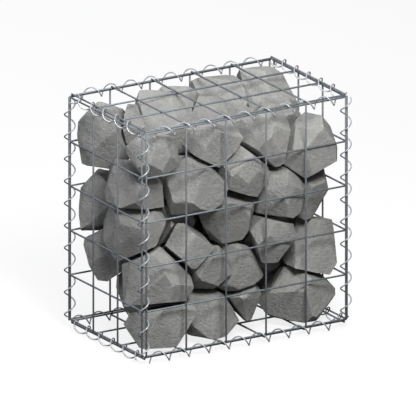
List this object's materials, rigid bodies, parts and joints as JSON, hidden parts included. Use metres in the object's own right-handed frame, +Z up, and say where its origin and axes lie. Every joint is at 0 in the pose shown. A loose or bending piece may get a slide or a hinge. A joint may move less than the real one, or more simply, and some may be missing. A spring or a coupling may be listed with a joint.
{
  "type": "stone filled gabion basket",
  "caption": "Free-standing gabion wall unit: a cage of welded wire mesh panels laced with wire spirals and filled with rough stone.",
  "frame": {"origin": "centre of the footprint, on the ground under the lowest turns of the bottom spirals", "axes": "+X along the wall's width, +Y through its depth from front to back, +Z up"},
  "size_m": [0.5342, 0.336, 0.5356],
  "materials": {
    "galvanised_wire": "zinc coated, dull",
    "stone": "rough broken faces"
  },
  "bodies": {
    "root": {"back_panel": "galvanised_wire", "base_panel": "galvanised_wire", "front_panel": "galvanised_wire", "left_panel": "galvanised_wire", "lid_panel": "galvanised_wire", "right_panel": "galvanised_wire", "spiral_back_left": "galvanised_wire", "spiral_back_right": "galvanised_wire", "spiral_bottom_back": "galvanised_wire", "spiral_bottom_front": "galvanised_wire", "spiral_bottom_left": "galvanised_wire", "spiral_bottom_right": "galvanised_wire", "spiral_front_left": "galvanised_wire", "spiral_front_right": "galvanised_wire", "spiral_top_back": "galvanised_wire", "spiral_top_front": "galvanised_wire", "spiral_top_left": "galvanised_wire", "spiral_top_right": "galvanised_wire", "stone_front_bottom_1": "stone", "stone_front_bottom_2": "stone", "stone_front_bottom_3": "stone", "stone_front_bottom_4": "stone", "stone_front_lower_1": "stone", "stone_front_lower_2": "stone", "stone_front_lower_3": "stone", "stone_front_middle_1": "stone", "stone_front_middle_2": "stone", "stone_front_middle_3": "stone", "stone_front_middle_4": "stone", "stone_front_top_1": "stone", "stone_front_top_2": "stone", "stone_front_top_3": "stone", "stone_front_top_4": "stone", "stone_front_upper_1": "stone", "stone_front_upper_2": "stone", "stone_front_upper_3": "stone", "stone_front_upper_4": "stone", "stone_left_deep": "stone", "stone_left_lower": "stone", "stone_left_middle_1": "stone", "stone_left_middle_2": "stone", "stone_left_top": "stone", "stone_left_upper": "stone", "stones_back": "stone", "stones_middle": "stone", "stones_top_back": "stone", "stones_top_middle": "stone"}
  },
  "joints": []
}
